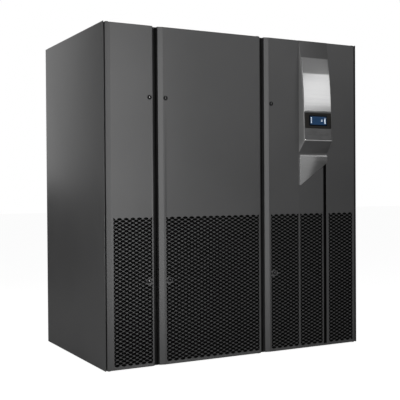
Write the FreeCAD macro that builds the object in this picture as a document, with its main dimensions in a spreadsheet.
import FreeCAD, Part
import math
import os
import re
from types import SimpleNamespace

import Sketcher
from FreeCAD import Placement, Rotation, Vector

# A floor-standing precision cooling unit for a data room.
# Frame: +Z up, the front faces -Y, +X to the right of someone who faces the front.
# The origin lies on the floor under the middle of the cabinet, its display nose left out.

DOC = FreeCAD.newDocument("cooling_unit")
SHEET = DOC.addObject("Spreadsheet::Sheet", "sizes")

DRIVING = (
    # Cabinet
    ("width", 1800, "cabinet, side to side"),
    ("depth", 1070, "cabinet, door face to rear face"),
    ("height", 1991, "floor to roof"),
    ("sheet", 2, "panels and doors, sheet thickness"),
    ("fold", 15, "side and rear panels, turned edge"),
    ("panel_floor", 6, "side and rear panels, gap under them"),
    ("panel_gap", 2, "rear and roof panels, joint between two"),
    ("post", 40, "posts and rails, outside of the square tube"),
    ("tube_wall", 2.5, "posts and rails, wall"),
    ("base_tall", 60, "base frame, height over the floor"),
    ("base_sheet", 3, "base frame, floor sheet thickness"),
    ("anchor_in", 55, "floor anchor holes, from the edge of the base frame"),
    ("anchor_radius", 7, "floor anchor holes, radius"),
    # Doors
    ("door_thick", 36, "doors, depth of the folded pan"),
    ("door_air", 14, "doors, space behind them"),
    ("door_floor", 8, "doors, gap under them"),
    ("door_head", 4, "doors, from the roof down to their top"),
    ("corner_gap", 14, "doors, set in from the cabinet sides"),
    ("wing_back", 6, "side panels, front edge behind the faces of the doors"),
    ("seam_gap", 37, "doors, dark seam between two"),
    ("left_door_wide", 290, "left door, width"),
    ("middle_door_wide", 700, "middle door, width"),
    ("bevel_wide", 30, "doors, flat bevel on the left edge, width"),
    ("bevel_deep", 9, "doors, flat bevel on the left edge, depth"),
    ("edge_chamfer", 6, "doors, chamfer on the right edge"),
    ("mullion_lap", 11.5, "door post, front plate behind a door edge"),
    ("web_play", 0.4, "door post, web inside the sides of the seam"),
    ("seal_wide", 8, "door seals, width"),
    ("seal_play", 0.3, "door seals, gap to the closed door"),
    ("seal_start", 40, "door seals, kept clear of the hinge edge"),
    # Door pivots
    ("pivot_in", 12, "pivot axis, from the hinge edge"),
    ("pivot_back", 20, "pivot axis, from the back of the door"),
    ("pin_radius", 4, "pivot pins, radius"),
    ("pin_play", 0.05, "pivot pins, radial clearance"),
    ("bush_radius", 7, "pivot bushes, radius"),
    ("bush_tall", 14, "pivot bushes, height"),
    ("bracket_thick", 3, "pivot brackets, plate thickness"),
    ("bracket_half", 14, "pivot brackets, half width"),
    ("bracket_gap", 1, "pivot brackets, gap to the door"),
    # Latches
    ("latch_high_drop", 419, "upper latches, below the roof line"),
    ("latch_low", 506, "lower latches, height over the floor"),
    ("narrow_latch_high", 22, "left door, upper latch from the free edge"),
    ("narrow_latch_low", 32, "left door, lower latch from the free edge"),
    ("wide_latch_high", 44, "other doors, upper latch from the free edge"),
    ("wide_latch_low", 65, "other doors, lower latch from the free edge"),
    ("latch_shaft", 6, "latches, shaft radius"),
    ("latch_play", 0.3, "latches, radial clearance"),
    ("latch_head", 12, "latches, head radius"),
    ("latch_proud", 4, "latches, head in front of the door"),
    ("latch_recess", 8.2, "latches, radius of the sunk face of the head"),
    ("latch_sunk", 2.6, "latches, depth of the sunk face of the head"),
    ("latch_pin", 4, "latches, radius of the key pin in the sunk face"),
    ("cam_half", 7, "latches, half width of the cam"),
    ("cam_thick", 3, "latches, thickness of the cam"),
    ("cam_gap", 1, "latches, cam behind the front plate of the door post"),
    ("cam_short", 2, "latches, cam tip from the free edge of the door"),
    # Perforation
    ("grille_low", 22, "perforation, lower edge over the floor"),
    ("grille_high", 872, "perforation, upper edge over the floor"),
    ("grille_left", 39, "perforation, from the left edge of a door"),
    ("grille_right", 11, "perforation, from the right edge of a door"),
    ("last_grille_right", 20, "perforation, from the right edge of the right door"),
    ("hole_across", 54, "perforation, hexagon across its corners"),
    ("hole_column", 43, "perforation, from column to column"),
    ("hole_row", 50, "perforation, from row to row"),
    ("hole_border", 5, "perforation, least plain border"),
    ("latch_boss", 18, "perforation, plain disc around a latch"),
    ("divider_from", 249, "right door, plain bar from the left edge"),
    ("divider_wide", 15, "right door, plain bar width"),
    ("groove_from", 448, "right door, black groove from the left edge"),
    ("groove_wide", 23, "right door, black groove width"),
    ("groove_deep", 12, "right door, black groove depth"),
    ("groove_top_drop", 796, "right door, top of the groove, below the roof line"),
    ("groove_left_bar", 9, "right door, plain bar left of the groove"),
    ("groove_right_bar", 16, "right door, plain bar right of the groove"),
    # Display nose on the right door
    ("nose_from", 256, "nose, from the left edge of the right door"),
    ("nose_wide", 224, "nose, width"),
    ("nose_wall", 3, "nose, wall of the shell"),
    ("nose_inner_out", 7, "nose, wall behind the rounding, measured from the unrounded crease"),
    ("nose_head", 60, "nose, solid part at its top"),
    ("nose_top_out", 1, "nose, how far it stands out at its top"),
    ("nose_crease_drop", 337, "nose where its two front faces meet, below the roof line"),
    ("nose_crease_out", 48, "nose, how far it stands out there"),
    ("nose_radius", 2500, "nose, rounding between the two front faces"),
    ("nose_lip_drop", 650, "nose, lower front edge, below the roof line"),
    ("nose_out", 59, "nose, how far it stands out at its lower front edge"),
    ("nose_foot_drop", 723, "nose, where its underside meets the door, below the roof line"),
    ("plate_low_drop", 464, "steel face plate, lower edge, below the roof line"),
    ("plate_high_drop", 111, "steel face plate, upper edge, below the roof line"),
    ("plate_margin", 6, "steel face plate, from the sides of the nose"),
    ("plate_thick", 1.2, "steel face plate, thickness"),
    ("screen_wide", 142, "screen, width"),
    ("screen_tall", 68, "screen, height"),
    ("screen_thick", 1.2, "screen, thickness"),
    ("frame_wide", 206, "display frame, width"),
    ("frame_tall", 98, "display frame, height"),
    ("frame_thick", 2.5, "display frame, thickness"),
    ("frame_low_drop", 568, "display frame, lower edge, below the roof line"),
    ("key_wide", 30, "keys, width"),
    ("key_tall", 14, "keys, height"),
    ("key_deep", 10, "keys, depth"),
    ("key_proud", 1.8, "keys, in front of the nose"),
    ("key_pitch", 44, "keys, from one to the next"),
    ("key_height_drop", 605, "keys, middle, below the roof line"),
    ("key_play", 0.3, "keys, clearance all round"),
    ("lip_tall", 8, "bright lip, height"),
    ("lip_thick", 1.5, "bright lip, thickness"),
    ("pull_top_drop", 728, "slanted steel plate, upper edge, below the roof line"),
    ("pull_left_low_drop", 934, "slanted steel plate, lower left corner, below the roof line"),
    ("pull_right_low_drop", 794, "slanted steel plate, lower right corner, below the roof line"),
    ("pull_margin", 5, "slanted steel plate, from the sides of the nose"),
    ("pull_thick", 7, "slanted steel plate, thickness"),
    ("strip_tall", 11, "slanted steel plate, height of the strip bent back along its top"),
    ("strip_fall", 4, "slanted steel plate, how far the strip leans back at its top"),
    # Air path
    ("deck_height", 1180, "fan deck, underside over the floor"),
    ("deck_sheet", 3, "fan deck, thickness"),
    ("fan_back", 625, "fan axes, from the door face"),
    ("fan_radius", 270, "impellers, radius"),
    ("fan_eye", 168, "impellers, radius of the eye"),
    ("fan_tall", 250, "impellers, back plate over the fan deck"),
    ("fan_lip", 33, "impellers, eye lip over the fan deck"),
    ("fan_shroud", 58, "impellers, shroud at the eye over the fan deck"),
    ("fan_shroud_rise", 22, "impellers, rise of the shroud to its rim"),
    ("fan_sheet", 3, "impellers, sheet thickness"),
    ("blade_count", 7, "impellers, blades"),
    ("blade_thick", 4, "impellers, blade thickness"),
    ("blade_bend", 260, "impellers, blade curve radius"),
    ("blade_lean", 38, "impellers, turn from a blade's root to its tip in degrees"),
    ("hub_radius", 45, "impellers, hub radius"),
    ("hub_tall", 19, "impellers, hub height"),
    ("shaft_radius", 12, "fan shafts, radius"),
    ("shaft_tall", 40, "fan shafts, length over the hub"),
    ("cone_throat", 160, "inlet cones, throat radius"),
    ("cone_mouth", 175, "inlet cones, mouth radius"),
    ("cone_flange", 205, "inlet cones, flange radius"),
    ("cone_tall", 43, "inlet cones, height over the fan deck"),
    ("motor_radius", 100, "fan motors, radius"),
    ("motor_tall", 104, "fan motors, height"),
    ("motor_gap", 4, "fan motors, gap over the hub"),
    ("leg_gap", 14, "motor brackets, legs clear of the impeller"),
    ("leg", 26, "motor brackets, square legs and bars"),
    ("bar_thick", 6, "motor brackets, bar thickness"),
    ("duct", 560, "duct openings, clear side"),
    ("duct_bolt", 600, "duct openings, bolt square"),
    ("duct_bolt_radius", 3.5, "duct openings, bolt hole radius"),
    ("collar_tall", 50, "discharge collars, height"),
    ("guard_bar", 6, "discharge guards, bar height and width"),
    ("guard_count", 6, "discharge guards, bars each way"),
    # Filters and coil
    ("filter_gap", 10, "filters, behind the door posts"),
    ("filter_thick", 48, "filters, thickness"),
    ("filter_top", 865, "filters, top over the floor"),
    ("filter_rim", 16, "filters, frame width"),
    ("filter_count", 4, "filters, side by side"),
    ("pleat", 26, "filters, pleat width"),
    ("rack_play", 6, "filter rack, past the filters front and back"),
    ("rack_gap", 1, "filter rack, over the filters"),
    ("rack_lip", 18, "filter rack, lip behind the filters"),
    ("coil_left", 28, "coil, from the bay partition"),
    ("coil_right", 60, "coil, from the right side of the cabinet"),
    ("coil_front", 250, "coil, lower front edge from the door face"),
    ("coil_low", 90, "coil, lower front edge over the floor"),
    ("coil_tilt", 35, "coil, lean from upright in degrees"),
    ("coil_thick", 120, "coil, thickness"),
    ("coil_long", 900, "coil, length up its slope"),
    ("coil_groove", 14, "coil, width of the gaps between fin packs"),
    ("coil_groove_deep", 10, "coil, depth of the gaps between fin packs"),
    ("coil_packs", 18, "coil, fin packs"),
    ("end_sheet", 2.5, "coil end plates, thickness"),
    ("foot_in", 60, "coil end plates, rear foot from the rear edge of the drain tray"),
    ("header_radius", 11, "coil headers, radius"),
    ("header_apart", 32, "coil headers, from the middle of the coil"),
    ("header_end", 60, "coil headers, from the ends of the coil"),
    ("tray_lead", 60, "drain tray, in front of the coil"),
    ("tray_tail", 85, "drain tray, rear edge from the rear base tube"),
    ("tray_margin", 5, "drain tray, past the coil at each end"),
    ("drain_bore", 13.5, "drain socket, bore radius"),
    ("drain_radius", 20, "drain socket, outer radius"),
    ("drain_flange", 28, "drain socket, flange radius"),
    ("drain_play", 0.3, "drain socket, clearance in its holes"),
    ("drain_in", 90, "drain socket, from the rear right corner of the tray"),
    ("heater_radius", 5, "heater rods, radius"),
    ("heater_drop", 60, "heater rods, highest one below the fan deck"),
    ("heater_pitch", 40, "heater rods, from one to the next"),
    ("heater_back", 900, "heater rods, from the door face"),
    ("heater_short", 110, "heater rods, bracket from the right side of the cabinet"),
    # Left bay
    ("bay_middle", 170, "left bay, middle line from the left side of the cabinet"),
    ("comp_front", 460, "compressors, front one from the door face"),
    ("comp_pitch", 260, "compressors, from one to the next"),
    ("comp_radius", 92, "compressors, shell radius"),
    ("comp_tall", 410, "compressors, shell height"),
    ("comp_dome", 45, "compressors, height of the domed ends"),
    ("comp_foot", 220, "compressors, side of the foot plate"),
    ("comp_foot_thick", 6, "compressors, foot plate thickness"),
    ("comp_stub", 45, "compressors, pipe stubs from the axis"),
    ("rubber_tall", 30, "rubber feet, height"),
    ("rubber_radius", 20, "rubber feet, radius"),
    ("rubber_in", 25, "rubber feet, from the edge of the foot plate"),
    ("hot_radius", 11, "hot gas line, radius"),
    ("hot_bore", 9.5, "hot gas line, bore radius at the roof"),
    ("hot_socket", 60, "hot gas line, depth of the socket at the roof"),
    ("hot_join", 900, "hot gas line, height where the two branches join"),
    ("suction_radius", 14, "suction line, radius"),
    ("liquid_radius", 8, "liquid line, radius"),
    ("liquid_bore", 6.5, "liquid line, bore radius at the roof"),
    ("liquid_back", 930, "liquid line, from the door face"),
    ("liquid_left", 110, "liquid line, from the left side of the cabinet"),
    ("pipe_bend", 30, "pipes, bend radius"),
    ("steam_bend", 60, "steam pipe, bend radius"),
    ("pipe_play", 1, "pipes, clearance in sheet metal"),
    ("drier_radius", 35, "filter drier, radius"),
    ("drier_low", 980, "filter drier, lower end over the floor"),
    ("drier_tall", 170, "filter drier, height"),
    ("steam_front", 230, "humidifier, axis from the door face"),
    ("steam_radius", 90, "humidifier, radius"),
    ("steam_tall", 480, "humidifier, height of the cylinder"),
    ("steam_cap", 40, "humidifier, height of the tapered ends"),
    ("steam_pipe", 16, "steam pipe, radius"),
    ("steam_high", 1100, "steam pipe, height of the lance"),
    ("steam_long", 1180, "steam pipe, length of the lance past the partition"),
    ("cable_radius", 32, "cable entry in the roof, radius"),
    ("cable_back", 200, "cable entry in the roof, from the door face"),
    # Electrical box behind the right door
    ("box_gap", 5, "electrical box, behind the door posts"),
    ("box_deep", 140, "electrical box, depth"),
    ("box_margin", 42, "electrical box, from the door post and the right post"),
    ("box_top_drop", 91, "electrical box, top, below the roof line"),
    ("board_wide", 240, "control board, width"),
    ("board_tall", 320, "control board, height"),
    ("board_thick", 2, "control board, thickness"),
    ("board_stand", 18, "control board, stand-offs"),
    ("device_high", 9, "control board, height of the devices on it"),
    ("chip_in", 36, "control board, processor from the left edge"),
    ("chip_up", 192, "control board, processor over the lower edge"),
    ("chip_wide", 72, "control board, processor, width"),
    ("chip_tall", 45, "control board, processor, height"),
    ("relay_in", 132, "control board, relays from the left edge"),
    ("relay_up", 198, "control board, relays over the lower edge"),
    ("relay_wide", 67, "control board, relays, width"),
    ("relay_tall", 64, "control board, relays, height"),
    ("terminal_in", 29, "control board, terminals from the left edge"),
    ("terminal_up", 32, "control board, terminals over the lower edge"),
    ("terminal_wide", 182, "control board, terminals, width"),
    ("terminal_tall", 26, "control board, terminals, height"),
    ("gear_in", 30, "electrical box, devices from its walls"),
    ("breaker_wide", 18, "breakers, width"),
    ("breaker_tall", 88, "breakers, height"),
    ("breaker_deep", 66, "breakers, depth"),
    ("breaker_shoulder", 22, "breakers, height of the shoulders above and below the raised front"),
    ("breaker_step", 22, "breakers, how far the front is raised"),
    ("breaker_count", 8, "breakers"),
    ("contactor_wide", 46, "contactors, width"),
    ("contactor_tall", 84, "contactors, height"),
    ("contactor_deep", 86, "contactors, depth"),
    ("contactor_shoulder", 16, "contactors, height of the shoulders above and below the raised front"),
    ("contactor_step", 30, "contactors, how far the front is raised"),
    ("contactor_count", 4, "contactors"),
    ("gear_row", 130, "electrical box, from one row of devices to the next"),
    ("isolator_side", 70, "isolator, side of its body"),
    ("isolator_deep", 80, "isolator, depth of its body"),
    ("knob_radius", 26, "isolator knob, radius"),
    ("knob_thick", 14, "isolator knob, thickness"),
    ("knob_gap", 0.3, "isolator knob, gap to its body"),
    ("spindle_radius", 5, "isolator knob, spindle radius"),
    ("spindle_long", 20, "isolator knob, spindle length"),
)
for row, (alias, value, meaning) in enumerate(DRIVING, 1):
    SHEET.set(f"A{row}", meaning)
    SHEET.set(f"B{row}", str(value))
    SHEET.setAlias(f"B{row}", alias)
DOC.recompute()
SIZE = SimpleNamespace(**{alias: float(SHEET.get(alias)) for alias, _, _ in DRIVING})

# Places that several pieces share, as expressions of the sheet's sizes.
LEFT = "(-width / 2)"
RIGHT = "(width / 2)"
FRONT = "(-depth / 2)"
BACK = "(depth / 2)"
STACK = f"({FRONT} + door_thick + door_air)"
INNER_FRONT = f"({STACK} + post)"
INNER_BACK = f"({BACK} - fold - post)"
FRAME_TOP = "(height - sheet)"
POST_TOP = "(height - sheet - post)"
DOOR_TOP = "(height - door_head)"
DOOR_TALL = "(height - door_head - door_floor)"
LEFT_DOOR = f"({LEFT} + corner_gap)"
MIDDLE_DOOR = f"({LEFT_DOOR} + left_door_wide + seam_gap)"
RIGHT_DOOR = f"({MIDDLE_DOOR} + middle_door_wide + seam_gap)"
RIGHT_DOOR_WIDE = "(width - 2 * corner_gap - left_door_wide - middle_door_wide - 2 * seam_gap)"
LEFT_SEAM = f"({MIDDLE_DOOR} - seam_gap / 2)"
RIGHT_SEAM = f"({RIGHT_DOOR} - seam_gap / 2)"
DECK_TOP = "(deck_height + deck_sheet)"
COIL_LEFT = f"({LEFT_SEAM} + coil_left)"
COIL_RIGHT = f"({RIGHT} - coil_right)"
NOSE_LEFT = f"({RIGHT_DOOR} + nose_from)"
NOSE_TILT = "atan((nose_out - nose_crease_out) / (nose_crease - nose_lip))"
FAN_MIDDLES = (f"(({LEFT_SEAM} + {RIGHT_SEAM}) / 2)", f"(({RIGHT_SEAM} + {RIGHT} - fold) / 2)")
FAN_Y = f"({FRONT} + fan_back)"
BAYS = (
    (f"{LEFT} + fold", f"{LEFT_SEAM} - panel_gap / 2"),
    (f"{LEFT_SEAM} + panel_gap / 2", f"{RIGHT_SEAM} - panel_gap / 2"),
    (f"{RIGHT_SEAM} + panel_gap / 2", f"{RIGHT} - fold"),
)

# Words that stand for a sum of sizes wherever an expression uses them.
DERIVED = {
    "latch_high": "(height - latch_high_drop)",
    "groove_top": "(height - groove_top_drop)",
    "nose_crease": "(height - nose_crease_drop)",
    "nose_lip": "(height - nose_lip_drop)",
    "nose_foot": "(height - nose_foot_drop)",
    "plate_low": "(height - plate_low_drop)",
    "plate_high": "(height - plate_high_drop)",
    "frame_low": "(height - frame_low_drop)",
    "key_height": "(height - key_height_drop)",
    "pull_top": "(height - pull_top_drop)",
    "pull_left_low": "(height - pull_left_low_drop)",
    "pull_right_low": "(height - pull_right_low_drop)",
    "box_top": "(height - box_top_drop)",
    "leg_reach": "(fan_radius + leg_gap + leg / 2)",
    "tray_front": "(coil_front - tray_lead)",
    "tray_long": f"({INNER_BACK} - {FRONT} - tray_tail - coil_front + tray_lead)",
}
NODES = []


def refer(text):
    """The expression with each word written out and each size written as a cell of the sheet."""
    spelt = re.sub(r"[a-z][a-z_]*", lambda word: DERIVED.get(word[0], word[0]), text)
    cell = lambda word: "sizes." + word[0] if hasattr(SIZE, word[0]) else word[0]
    return re.sub(r"[a-z][a-z_]*", cell, spelt)


def bind(item, expressions):
    """Bind properties of a document object to expressions of the sizes."""
    for path, text in expressions.items():
        item.setExpression(path, refer(text))


def place(item, x="0", y="0", z="0"):
    """Put a document object's origin at a point of the cabinet."""
    bind(item, {"Placement.Base.x": x, "Placement.Base.y": y, "Placement.Base.z": z})
    return item


def node(label, item):
    """Name a finished piece, which is written to the file of that name."""
    item.Label = label
    NODES.append(item)
    return item


def group(label, items):
    """A node of several separate solids."""
    compound = DOC.addObject("Part::Compound", label)
    compound.Links = items
    return node(label, compound)


def box(name, x, y, z, length, width, height):
    """A box from its lowest corner and its three sides."""
    item = DOC.addObject("Part::Box", name)
    bind(item, {"Length": length, "Width": width, "Height": height})
    return place(item, x, y, z)


def rod(name, x, y, z, radius, length, axis=Vector(0, 0, 1)):
    """A round bar from the middle of its first end along an axis."""
    item = DOC.addObject("Part::Cylinder", name)
    item.Placement = Placement(Vector(), Rotation(Vector(0, 0, 1), axis))
    bind(item, {"Radius": radius, "Height": length})
    return place(item, x, y, z)


def fuse(name, items):
    """Several solids joined into one."""
    item = DOC.addObject("Part::MultiFuse", name)
    item.Shapes = items
    item.Refine = True
    return item


def cut(name, base, tools):
    """A solid with other solids taken away."""
    item = DOC.addObject("Part::Cut", name)
    item.Base = base
    item.Tool = tools[0] if len(tools) == 1 else fuse(name + "_tools", tools)
    return item


def rectangle(x0, y0, x1, y1):
    """The four corners of an upright rectangle."""
    return [(x0, y0), (x1, y0), (x1, y1), (x0, y1)]


def sketch(body, name, plane, outlines, circles=(), lift="0"):
    """A sketch of closed outlines and circles, every corner bound to the sheet."""
    item = body.newObject("Sketcher::SketchObject", name)
    origin_plane = next(f for f in body.Origin.OriginFeatures if f.Role == plane)
    item.AttachmentSupport = (origin_plane, [""])
    item.MapMode = "FlatFace"
    bind(item, {"AttachmentOffset.Base.z": lift})
    bound = []
    for corners in outlines:
        first = item.GeometryCount
        count = len(corners)
        turns = [math.tau * i / count for i in range(count)]
        ring = [Vector(100 * math.cos(turn), 100 * math.sin(turn), 0) for turn in turns]
        for i in range(count):
            item.addGeometry(Part.LineSegment(ring[i], ring[(i + 1) % count]))
        for i in range(count):
            item.addConstraint(Sketcher.Constraint("Coincident", first + i, 2, first + (i + 1) % count, 1))
        for i, (across, up) in enumerate(corners):
            bound.append((Sketcher.Constraint("DistanceX", -1, 1, first + i, 1, ring[i].x), across))
            bound.append((Sketcher.Constraint("DistanceY", -1, 1, first + i, 1, ring[i].y), up))
    for across, up, radius in circles:
        circle = item.addGeometry(Part.Circle(Vector(10, 10, 0), Vector(0, 0, 1), 5))
        bound.append((Sketcher.Constraint("DistanceX", -1, 1, circle, 3, 10), across))
        bound.append((Sketcher.Constraint("DistanceY", -1, 1, circle, 3, 10), up))
        bound.append((Sketcher.Constraint("Radius", circle, 5), radius))
    for constraint, text in bound:
        bind(item, {f"Constraints[{item.addConstraint(constraint)}]": text})
    return item


def new_body(name):
    return DOC.addObject("PartDesign::Body", name)


def pad(body, name, profile, length):
    item = body.newObject("PartDesign::Pad", name)
    item.Profile = profile
    bind(item, {"Length": length})
    return item


def pocket(body, name, profile, length=None, outward=False):
    """A pocket against the sketch's normal, or along it, to a depth or right through."""
    item = body.newObject("PartDesign::Pocket", name)
    item.Profile = profile
    item.Reversed = outward
    if length is None:
        item.Type = "ThroughAll"
    else:
        bind(item, {"Length": length})
    return item


def turned(body, name, profile, kind="Revolution"):
    """A full turn of a sketch about the body's upright axis."""
    item = body.newObject("PartDesign::" + kind, name)
    item.Profile = profile
    item.ReferenceAxis = (profile, ["V_Axis"])
    item.Angle = 360
    return item


def turned_piece(name, corners):
    """A turned solid from an outline of radius and height."""
    body = new_body(name)
    turned(body, name + "_turn", sketch(body, name + "_outline", "XZ_Plane", [corners]))
    return body


def pipe(points, radius, bend):
    """A round pipe along straight runs that tangent arcs join."""
    edges = []
    start = points[0]
    for before, corner, after in zip(points, points[1:], points[2:]):
        back = (before - corner).normalize()
        ahead = (after - corner).normalize()
        half = back.getAngle(ahead) / 2
        reach = bend / math.tan(half)
        middle = (back + ahead).normalize() * (bend / math.sin(half) - bend)
        edges.append(Part.makeLine(start, corner + back * reach))
        edges.append(Part.Arc(corner + back * reach, corner + middle, corner + ahead * reach).toShape())
        start = corner + ahead * reach
    edges.append(Part.makeLine(start, points[-1]))
    section = Part.Wire(Part.makeCircle(radius, points[0], points[1] - points[0]))
    return Part.Wire(edges).makePipeShell([section], True, False)


def shaped(name, shape):
    """A piece whose shape is worked out from the sizes in this script."""
    item = DOC.addObject("Part::Feature", name)
    item.Shape = shape
    return item


# Base frame, posts and rails

def square_tube(name, x, y, z, length, width, height, run):
    """A square tube along one axis, open at both ends."""
    sides = {"x": length, "y": width, "z": height}
    corner = {"x": x, "y": y, "z": z}
    inner_corner = {a: corner[a] if a == run else f"{corner[a]} + tube_wall" for a in "xyz"}
    inner_sides = {a: sides[a] if a == run else f"{sides[a]} - 2 * tube_wall" for a in "xyz"}
    outer = box(name + "_outer", x, y, z, length, width, height)
    inner = box(name + "_inner", *inner_corner.values(), *inner_sides.values())
    return cut(name, outer, [inner])


def base_frame():
    """Floor sheet with the anchor holes, and the tubes around its edge that carry the posts."""
    long = "(width - 2 * fold)"
    deep = f"({BACK} - fold - {STACK})"
    floor = new_body("base_floor")
    place(floor, f"{LEFT} + fold", STACK)
    holes = [
        (across, up, "anchor_radius")
        for across in ("anchor_in", f"{long} - anchor_in")
        for up in ("anchor_in", f"{deep} - anchor_in")
    ]
    drain_x = f"({COIL_RIGHT} + tray_margin - drain_in - {LEFT} - fold)"
    drain_y = f"({FRONT} + tray_front + tray_long - drain_in - {STACK})"
    holes.append((drain_x, drain_y, "drain_radius + drain_play"))
    plan = sketch(floor, "floor_plan", "XY_Plane", [rectangle("0", "0", long, deep)], holes)
    pad(floor, "floor_sheet", plan, "base_sheet")
    tall = "base_tall - base_sheet"
    between = f"({INNER_BACK} - {INNER_FRONT})"
    left = f"{LEFT} + fold"
    right = f"{RIGHT} - fold - post"
    group("base_frame", [
        floor,
        square_tube("base_front", left, STACK, "base_sheet", long, "post", tall, "x"),
        square_tube("base_rear", left, INNER_BACK, "base_sheet", long, "post", tall, "x"),
        square_tube("base_left", left, INNER_FRONT, "base_sheet", "post", between, tall, "y"),
        square_tube("base_right", right, INNER_FRONT, "base_sheet", "post", between, tall, "y"),
    ])


def frame():
    """Corner posts, the two door posts behind the seams, and the top rails."""
    tall = f"{POST_TOP} - base_tall"
    posts = []
    for x in (f"{LEFT} + fold", f"{RIGHT} - fold - post"):
        for y in (STACK, INNER_BACK):
            name = f"post_{len(posts) + 1}"
            posts.append(square_tube(name, x, y, "base_tall", "post", "post", tall, "z"))
    group("corner_posts", posts)

    mullions = []
    for i, seam in enumerate((LEFT_SEAM, RIGHT_SEAM), 1):
        body = new_body(f"mullion_{i}")
        place(body, seam, STACK, "base_tall")
        plate = "(seam_gap / 2 + mullion_lap)"
        web = "(seam_gap / 2 - web_play)"
        outline = [
            (f"-{plate}", "0"), (plate, "0"), (plate, "tube_wall"), (web, "tube_wall"),
            (web, "post"), (f"-{web}", "post"), (f"-{web}", "tube_wall"), (f"-{plate}", "tube_wall"),
        ]
        hollow = rectangle(f"tube_wall - {web}", "tube_wall", f"{web} - tube_wall", "post - tube_wall")
        plan = sketch(body, f"mullion_plan_{i}", "XY_Plane", [outline, hollow])
        pad(body, f"mullion_run_{i}", plan, tall)
        mullions.append(body)
    group("door_posts", mullions)

    long = "(width - 2 * fold)"
    between = f"({INNER_BACK} - {INNER_FRONT})"
    rails = [
        square_tube("front_rail", f"{LEFT} + fold", STACK, POST_TOP, long, "post", "post", "x"),
        square_tube("rear_rail", f"{LEFT} + fold", INNER_BACK, POST_TOP, long, "post", "post", "x"),
    ]
    starts = (
        f"{LEFT} + fold", f"{LEFT_SEAM} - post / 2",
        f"{RIGHT_SEAM} - post / 2", f"{RIGHT} - fold - post",
    )
    for i, x in enumerate(starts, 1):
        rails.append(square_tube(f"cross_rail_{i}", x, INNER_FRONT, POST_TOP, "post", between, "post", "y"))
    group("top_rails", rails)


# Outer panels

def folded_panel(name, x, y, length, width, open_side):
    """An upright sheet with its four edges turned towards the cabinet."""
    tall = "height - panel_floor"
    outer = box(name + "_outer", x, y, "panel_floor", length, width, tall)
    inner_x = f"{x} + sheet"
    inner_length = f"{length} - 2 * sheet"
    inner_y = f"{y} + sheet"
    inner_width = f"{width} - 2 * sheet"
    if open_side == "right":
        inner_length = f"{length} - sheet"
    if open_side == "left":
        inner_x = x
        inner_length = f"{length} - sheet"
    if open_side == "front":
        inner_y = y
        inner_width = f"{width} - sheet"
    inside = box(
        name + "_inside", inner_x, inner_y, "panel_floor + sheet",
        inner_length, inner_width, f"{tall} - 2 * sheet",
    )
    return cut(name, outer, [inside])


def side_panel(name, start, sheet_x, open_side):
    """A side panel, whose outer sheet runs on past the frame to cover the edge of the door."""
    pan = folded_panel(name + "_pan", start, STACK, "fold", f"({BACK} - {STACK})", open_side)
    front = f"({FRONT} + wing_back)"
    wing = box(
        name + "_wing", sheet_x, front, "panel_floor",
        "sheet", f"{STACK} - {front}", "height - panel_floor",
    )
    return fuse(name, [pan, wing])


def panels():
    """Side panels and the three rear panels."""
    group("side_panels", [
        side_panel("left_side", LEFT, LEFT, "right"),
        side_panel("right_side", f"{RIGHT} - fold", f"{RIGHT} - sheet", "left"),
    ])
    rear = []
    for i, (start, end) in enumerate(BAYS, 1):
        wide = f"({end} - ({start}))"
        rear.append(folded_panel(f"rear_{i}", start, f"{BACK} - fold", wide, "fold", "front"))
    group("rear_panels", rear)


def roof_sheet(name, x, y, length, width, holes=()):
    """A flat roof sheet on the rails, with round holes placed from its front left corner."""
    body = new_body(name)
    place(body, x, y, FRAME_TOP)
    plan = sketch(body, name + "_plan", "XY_Plane", [rectangle("0", "0", length, width)], holes)
    pad(body, name + "_sheet", plan, "sheet")
    return body


def roof_panels():
    """Roof of the narrow bay with its pipe and cable holes, and four sheets around each duct opening."""
    deep = f"({BACK} - fold - {STACK})"
    base_y = f"({FRONT} - {STACK})"
    start, end = BAYS[0]
    hot_y = f"{base_y} + comp_front + comp_pitch"
    sheets = [roof_sheet("roof_narrow", start, STACK, f"{end} - ({start})", deep, [
        ("bay_middle - comp_stub - fold", hot_y, "hot_radius + pipe_play"),
        ("liquid_left - fold", f"{base_y} + liquid_back", "liquid_radius + pipe_play"),
        ("bay_middle - fold", f"{base_y} + cable_back", "cable_radius"),
    ])]
    low = f"({FAN_Y} - duct / 2)"
    high = f"({FAN_Y} + duct / 2)"
    edge = "(duct_bolt - duct) / 2"
    for i, (middle, (start, end)) in enumerate(zip(FAN_MIDDLES, BAYS[1:]), 1):
        wide = f"({end} - ({start}))"
        front = f"({low} - {STACK})"
        rear = f"({BACK} - fold - {high})"
        bolts = [f"{middle} - ({start}) {side} duct_bolt / 2" for side in "-+"]
        sheets.append(roof_sheet(f"roof_front_{i}", start, STACK, wide, front, [
            (x, f"{front} - {edge}", "duct_bolt_radius") for x in bolts
        ]))
        sheets.append(roof_sheet(f"roof_rear_{i}", start, high, wide, rear, [
            (x, edge, "duct_bolt_radius") for x in bolts
        ]))
        left = f"({middle} - duct / 2)"
        right = f"({middle} + duct / 2)"
        sheets.append(roof_sheet(f"roof_left_{i}", start, low, f"{left} - ({start})", "duct"))
        sheets.append(roof_sheet(f"roof_right_{i}", right, low, f"{end} - {right}", "duct"))
    group("roof_panels", sheets)


# Doors

def door_outline(wide):
    """Plan of a door's outside: bevel on the left edge, chamfer on the right."""
    return [
        ("0", "door_thick"), ("0", "bevel_deep"), ("bevel_wide", "0"),
        (f"{wide} - edge_chamfer", "0"), (wide, "edge_chamfer"), (wide, "door_thick"),
    ]


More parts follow.
